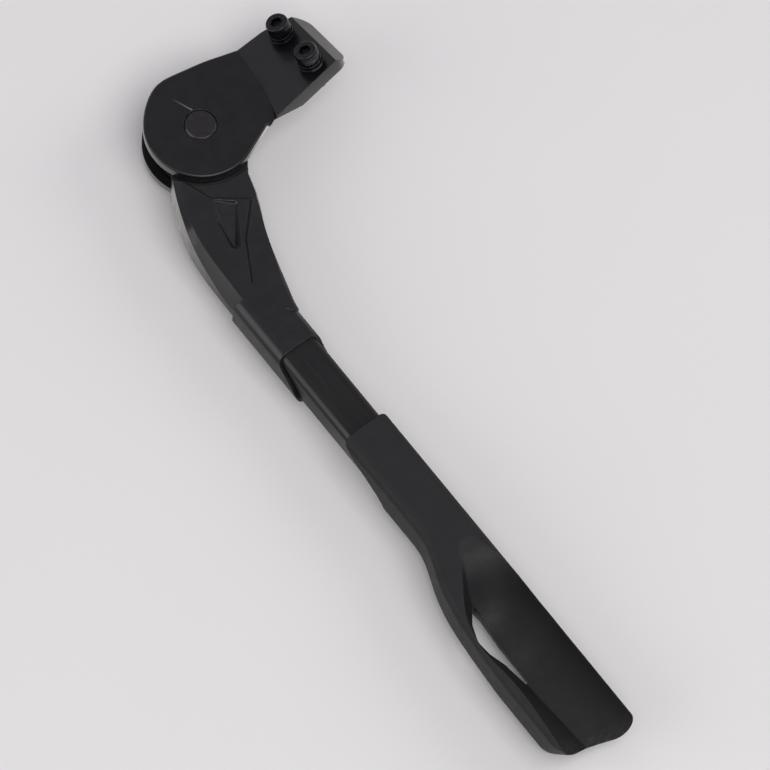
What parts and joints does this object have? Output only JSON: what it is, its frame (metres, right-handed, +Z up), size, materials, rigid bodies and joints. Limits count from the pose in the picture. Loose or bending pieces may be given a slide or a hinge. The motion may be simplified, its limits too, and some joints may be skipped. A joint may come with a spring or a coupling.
{
  "type": "bicycle kickstand",
  "caption": "Rear kickstand for a bicycle: a forked bracket bolts to the frame, a sculpted leg folds on its pin, and a plastic foot slides on the leg's tube to set the height.",
  "frame": {"origin": "midway between the two mounting screws, on the plate's face that meets the bicycle's frame", "axes": "+X forward from the pivot to the plate's end, +Y away from the wheel, +Z up; the leg stands down"},
  "size_m": [0.1071, 0.1123, 0.2732],
  "materials": {
    "bracket_coat": "satin black coat on a casting",
    "leg_coat": "satin black coat on a casting",
    "tube_anodised": "black anodised, drawn along its length",
    "screw_steel": "black oxide",
    "washer_steel": "black oxide",
    "pin_steel": "coated black, turned end",
    "spring_steel": "oiled spring steel",
    "thrust_plastic": "natural plastic",
    "foot_plastic": "black moulded plastic, fine grain",
    "insert_brass": "turned brass"
  },
  "bodies": {
    "bracket_body": {"bracket": "bracket_coat", "mounting_screws": "screw_steel", "spring_washers": "washer_steel", "flat_washers": "washer_steel", "pivot_pin": "pin_steel", "pin_circlip": "spring_steel", "front_thrust_washer": "thrust_plastic", "rear_thrust_washer": "thrust_plastic"},
    "leg_body": {"upper_leg": "leg_coat", "detent_plunger": "pin_steel", "detent_spring": "spring_steel", "extension_tube": "tube_anodised", "grub_screw": "screw_steel"},
    "foot_body": {"foot": "foot_plastic", "foot_insert": "insert_brass", "set_screw": "screw_steel"}
  },
  "joints": [
    {"name": "leg_pivot", "type": "hinge", "parent": "bracket_body", "child": "leg_body", "pos_m": [-0.0468, 0.0028, -0.001], "axis": [-0.1632, 0.9254, 0.342], "range_deg": [0, 95]},
    {"name": "foot_slide", "type": "slide", "parent": "leg_body", "child": "foot_body", "axis": [-0.0181, 0.3438, -0.9389], "range_m": [-0.007, 0.007]}
  ]
}
